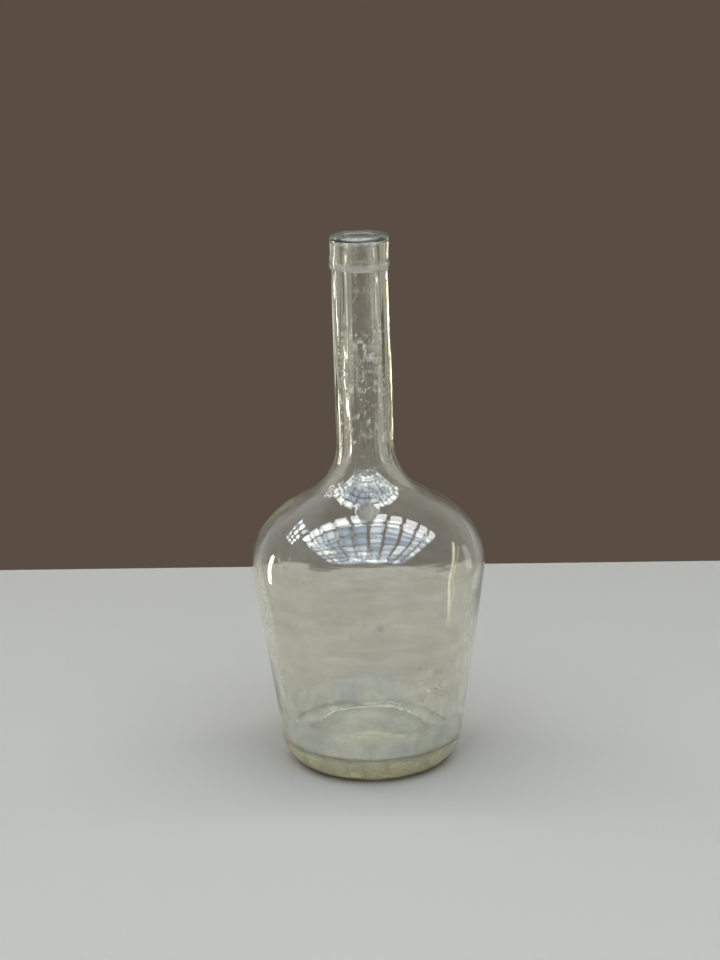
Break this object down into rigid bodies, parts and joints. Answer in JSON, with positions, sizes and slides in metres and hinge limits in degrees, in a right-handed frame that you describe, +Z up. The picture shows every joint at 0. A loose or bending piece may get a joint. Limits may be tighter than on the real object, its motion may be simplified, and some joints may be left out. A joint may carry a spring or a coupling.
{
  "type": "antique glass bottle",
  "caption": "Hand-blown glass bottle with a wide tapering body, long leaning neck, laid-on lip and pushed-up base; free-standing, open, for display or holding liquid.",
  "frame": {"origin": "on the surface that the bottle stands on, under the middle of its box", "axes": "+Z up through the mouth; the neck leans towards -X by one degree; the view that shows that lean looks along +Y"},
  "size_m": [0.1202, 0.1202, 0.2752],
  "materials": {
    "vessel_glass": "clear glass with a faint grey-green tint, glossy outside, hazy with mineral film inside, wavy, with seeds and draw lines",
    "lip_glass": "clear glossy glass, tooled unevenly, with fine lines round and along it",
    "scar_glass": "broken, sharp-edged glass with a yellow-green tint"
  },
  "bodies": {
    "root": {"blown_vessel": "vessel_glass", "applied_lip": "lip_glass", "pontil_scar": "scar_glass"}
  },
  "joints": []
}
